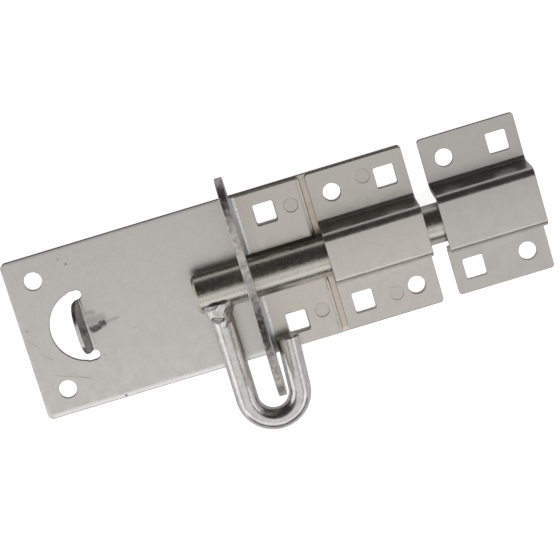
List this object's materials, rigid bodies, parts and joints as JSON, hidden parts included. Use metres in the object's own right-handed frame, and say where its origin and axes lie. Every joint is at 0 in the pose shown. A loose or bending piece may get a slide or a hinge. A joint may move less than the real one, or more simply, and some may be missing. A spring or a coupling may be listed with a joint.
{
  "type": "padbolt",
  "caption": "Zinc-plated padbolt: round bolt in pressed straps on a back plate, a U handle that straddles an upright plate with a padlock eye in each ear, and a separate keeper strap.",
  "frame": {"origin": "on the back face, under the middle of the back plate", "axes": "+X along the bolt towards the keeper, +Y across the plate away from the handle at rest, +Z out of the door or gate"},
  "size_m": [0.1921, 0.0963, 0.0346],
  "materials": {
    "zinc_sheet": "satin bright zinc plating on rolled sheet",
    "zinc_bracket": "satin bright zinc plating on thick sheet",
    "zinc_strap": "satin bright zinc plating on pressed sheet",
    "zinc_bar": "smooth bright zinc plating on drawn bar",
    "zinc_rod": "glossy bright zinc plating on bent rod",
    "zinc_weld": "glossy plated weld metal",
    "zinc_rivet": "satin plated flush rivet ends"
  },
  "bodies": {
    "mounting": {"back_plate": "zinc_sheet", "hasp_bracket": "zinc_bracket", "guide_strap": "zinc_strap", "keeper_strap": "zinc_strap", "bracket_rivets": "zinc_rivet", "guide_rivets": "zinc_rivet"},
    "sliding_bolt": {"bolt": "zinc_bar"},
    "swing_handle": {"handle": "zinc_rod", "handle_weld": "zinc_weld"}
  },
  "joints": [
    {"name": "bolt_slide", "type": "slide", "parent": "mounting", "child": "sliding_bolt", "axis": [1, 0, 0], "range_m": [0, 0.0048]},
    {"name": "handle_swing", "type": "hinge", "parent": "sliding_bolt", "child": "swing_handle", "pos_m": [-0.0036, 0, 0.00905], "axis": [-1, 0, 0], "range_deg": [0, 180]}
  ]
}
